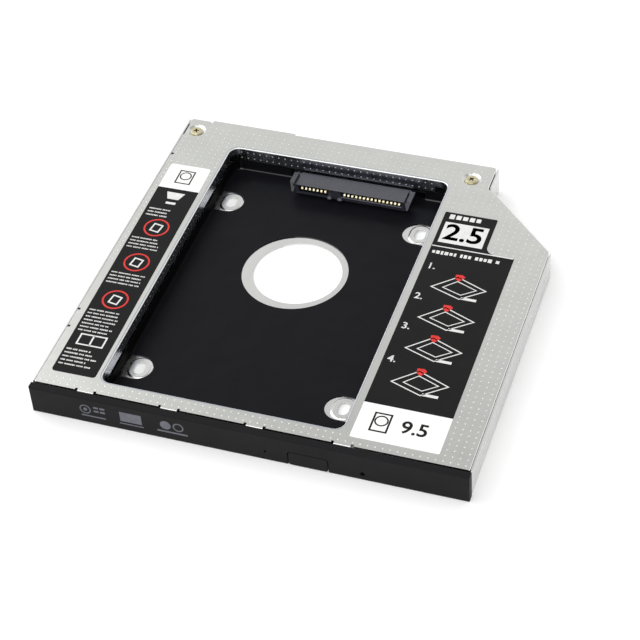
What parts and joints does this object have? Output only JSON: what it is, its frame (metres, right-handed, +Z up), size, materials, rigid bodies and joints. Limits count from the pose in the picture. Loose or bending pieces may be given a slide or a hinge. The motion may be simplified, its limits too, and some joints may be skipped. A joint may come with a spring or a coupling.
{
  "type": "laptop drive caddy",
  "caption": "Slim sheet-metal tray that carries a laptop drive in an optical bay, with a window, a drive connector, a bezel and a push button.",
  "frame": {"origin": "middle of the caddy's footprint, on the surface that it lies on", "axes": "+X along the bezel to the right as one faces it, +Y from the bezel to the rear, +Z up out of the window"},
  "size_m": [0.128, 0.1274, 0.0096],
  "materials": {
    "cover_metal": "satin, embossed with a grid of small dots",
    "tray_metal": "satin",
    "film": "thin black sheet, half gloss",
    "bezel_plastic": "fine grain, matte",
    "button_plastic": "fine grain, matte",
    "housing_plastic": "half gloss",
    "board": "solder mask",
    "contact_gold": "gold plated",
    "capacitor": "matte",
    "screw_brass": "yellow plating",
    "standoff_metal": "plain",
    "label_print": "printed sticker, half gloss"
  },
  "bodies": {
    "caddy": {"top_cover": "cover_metal", "bottom_tray": "tray_metal", "insulation_film": "film", "front_bezel": "bezel_plastic", "drive_connector_housing": "housing_plastic", "host_connector_housing": "housing_plastic", "circuit_board": "board", "drive_signal_contact_1": "contact_gold", "drive_signal_contact_2": "contact_gold", "drive_signal_contact_3": "contact_gold", "drive_signal_contact_4": "contact_gold", "drive_signal_contact_5": "contact_gold", "drive_signal_contact_6": "contact_gold", "drive_signal_contact_7": "contact_gold", "drive_power_contact_1": "contact_gold", "drive_power_contact_2": "contact_gold", "drive_power_contact_3": "contact_gold", "drive_power_contact_4": "contact_gold", "drive_power_contact_5": "contact_gold", "drive_power_contact_6": "contact_gold", "drive_power_contact_7": "contact_gold", "drive_power_contact_8": "contact_gold", "drive_power_contact_9": "contact_gold", "drive_power_contact_10": "contact_gold", "drive_power_contact_11": "contact_gold", "drive_power_contact_12": "contact_gold", "drive_power_contact_13": "contact_gold", "drive_power_contact_14": "contact_gold", "drive_power_contact_15": "contact_gold", "host_signal_contact_1": "contact_gold", "host_signal_contact_2": "contact_gold", "host_signal_contact_3": "contact_gold", "host_signal_contact_4": "contact_gold", "host_signal_contact_5": "contact_gold", "host_signal_contact_6": "contact_gold", "host_signal_contact_7": "contact_gold", "host_power_contact_1": "contact_gold", "host_power_contact_2": "contact_gold", "host_power_contact_3": "contact_gold", "host_power_contact_4": "contact_gold", "host_power_contact_5": "contact_gold", "host_power_contact_6": "contact_gold", "capacitor_1": "capacitor", "capacitor_2": "capacitor", "capacitor_3": "capacitor", "rear_left_screw": "screw_brass", "rear_right_screw": "screw_brass", "rear_left_standoff": "standoff_metal", "rear_right_standoff": "standoff_metal", "left_label": "label_print", "right_label": "label_print"},
    "button": {"eject_button": "button_plastic"}
  },
  "joints": [
    {"name": "button_press", "type": "slide", "parent": "caddy", "child": "button", "axis": [0, 1, 0], "range_m": [0, 0.0008], "stiffness_N_per_m": 300}
  ]
}
